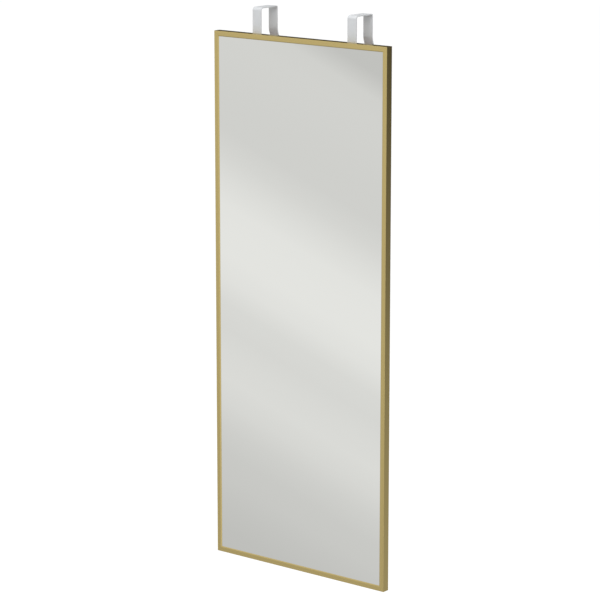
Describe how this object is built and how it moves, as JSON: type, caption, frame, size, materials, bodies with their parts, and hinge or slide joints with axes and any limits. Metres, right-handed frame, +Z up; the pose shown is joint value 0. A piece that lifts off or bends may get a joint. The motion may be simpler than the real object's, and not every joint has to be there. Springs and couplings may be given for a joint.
{
  "type": "over the door mirror",
  "caption": "Tall rectangular mirror in a thin gold metal frame, hung over a door's top edge on two bent strap hooks.",
  "frame": {"origin": "on the door's top edge, midway between the two hooks, at the door face that the mirror hangs against", "axes": "+Z up, mirror faces -Y, +X across the mirror to the right as seen from in front"},
  "size_m": [0.4, 0.0685, 1.0475],
  "materials": {
    "frame_metal": "satin gold anodised",
    "mirror": "polished",
    "film": "woven plastic film",
    "foam": "closed-cell foam",
    "board": "smooth hardboard",
    "spring_steel": "spring steel",
    "hook_metal": "satin",
    "zinc_steel": "zinc plated",
    "dark_steel": "black oxide",
    "bumper": "matt"
  },
  "bodies": {
    "root": {"top_rail": "frame_metal", "bottom_rail": "frame_metal", "left_stile": "frame_metal", "right_stile": "frame_metal", "top_left_corner_key": "zinc_steel", "top_right_corner_key": "zinc_steel", "bottom_left_corner_key": "zinc_steel", "bottom_right_corner_key": "zinc_steel", "corner_grub_screws": "dark_steel", "mirror_glass": "mirror", "safety_film": "film", "foam_sheet": "foam", "backing_board": "board", "spring_clips": "spring_steel", "left_hook": "hook_metal", "right_hook": "hook_metal", "left_nut_plate": "zinc_steel", "right_nut_plate": "zinc_steel", "left_hook_screws": "zinc_steel", "right_hook_screws": "zinc_steel", "left_bumper": "bumper", "right_bumper": "bumper"}
  },
  "joints": []
}
